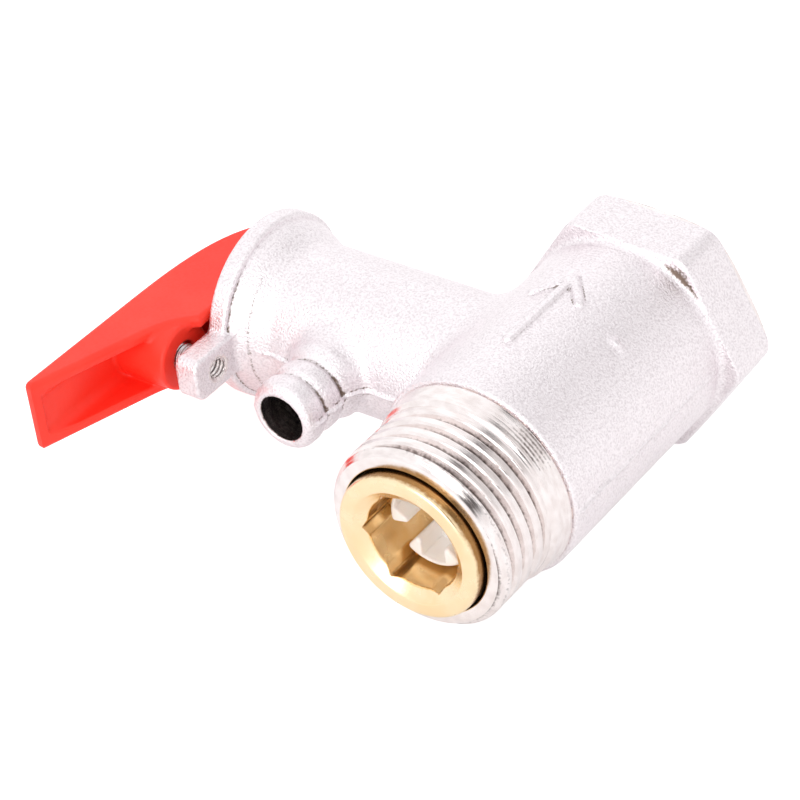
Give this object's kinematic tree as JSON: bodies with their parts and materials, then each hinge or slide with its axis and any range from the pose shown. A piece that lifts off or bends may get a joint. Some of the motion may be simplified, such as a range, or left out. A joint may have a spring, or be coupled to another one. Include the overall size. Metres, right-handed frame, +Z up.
{
  "type": "pressure relief valve",
  "caption": "Water heater safety valve: hexagon port, threaded end with a check valve inside, side relief branch with a hose barb, and a red plastic release lever.",
  "frame": {"origin": "centre of the hexagon port's end face, on the axis of the run", "axes": "+Y out of the hexagon port along the run, -X along the relief branch towards the lever, +Z up, normal to the branch's plane"},
  "size_m": [0.0621, 0.0485, 0.0252],
  "materials": {
    "nickel": "satin nickel plate over a grainy casting, bright where it is machined",
    "brass": "machined brass",
    "steel": "stainless steel",
    "red_plastic": "semi-gloss moulded red",
    "white_plastic": "moulded off-white",
    "rubber": "black nitrile rubber"
  },
  "bodies": {
    "body": {"valve_body": "nickel", "check_retainer": "brass", "retainer_oring": "rubber", "check_guide": "white_plastic", "check_spring": "steel", "relief_spring": "steel", "spring_washer": "steel", "stem_oring": "rubber", "adjuster_plug": "brass"},
    "check_poppet": {"check_poppet": "white_plastic", "check_seal": "rubber"},
    "stem": {"relief_disc": "brass", "relief_seal": "rubber", "seal_screw": "steel", "relief_stem": "brass", "lever_pin": "steel"},
    "lever": {"lever": "red_plastic"},
    "lock_screw": {"lock_screw": "steel"}
  },
  "joints": [
    {"name": "lever_hinge", "type": "hinge", "parent": "body", "child": "lever", "pos_m": [-0.0402, -0.0109, 0], "axis": [0, 0, -1], "range_deg": [0, 20], "stiffness_Nm_per_rad": 0.06, "springref_deg": -28.65},
    {"name": "stem_slide", "type": "slide", "parent": "body", "child": "stem", "axis": [-1, 0, 0], "range_m": [0, 0.0032], "deforming": ["relief_spring"]},
    {"name": "check_slide", "type": "slide", "parent": "body", "child": "check_poppet", "axis": [0, 1, 0], "range_m": [0, 0.003], "stiffness_N_per_m": 60, "springref_m": -0.004, "deforming": ["check_spring"]},
    {"name": "lock_screw_slide", "type": "slide", "parent": "lever", "child": "lock_screw", "axis": [-1, 0, 0], "range_m": [0, 0.004]}
  ],
  "couplings": [
    {"joint": "stem_slide", "follows": "lever_hinge", "m_per_rad": 0.00905}
  ]
}
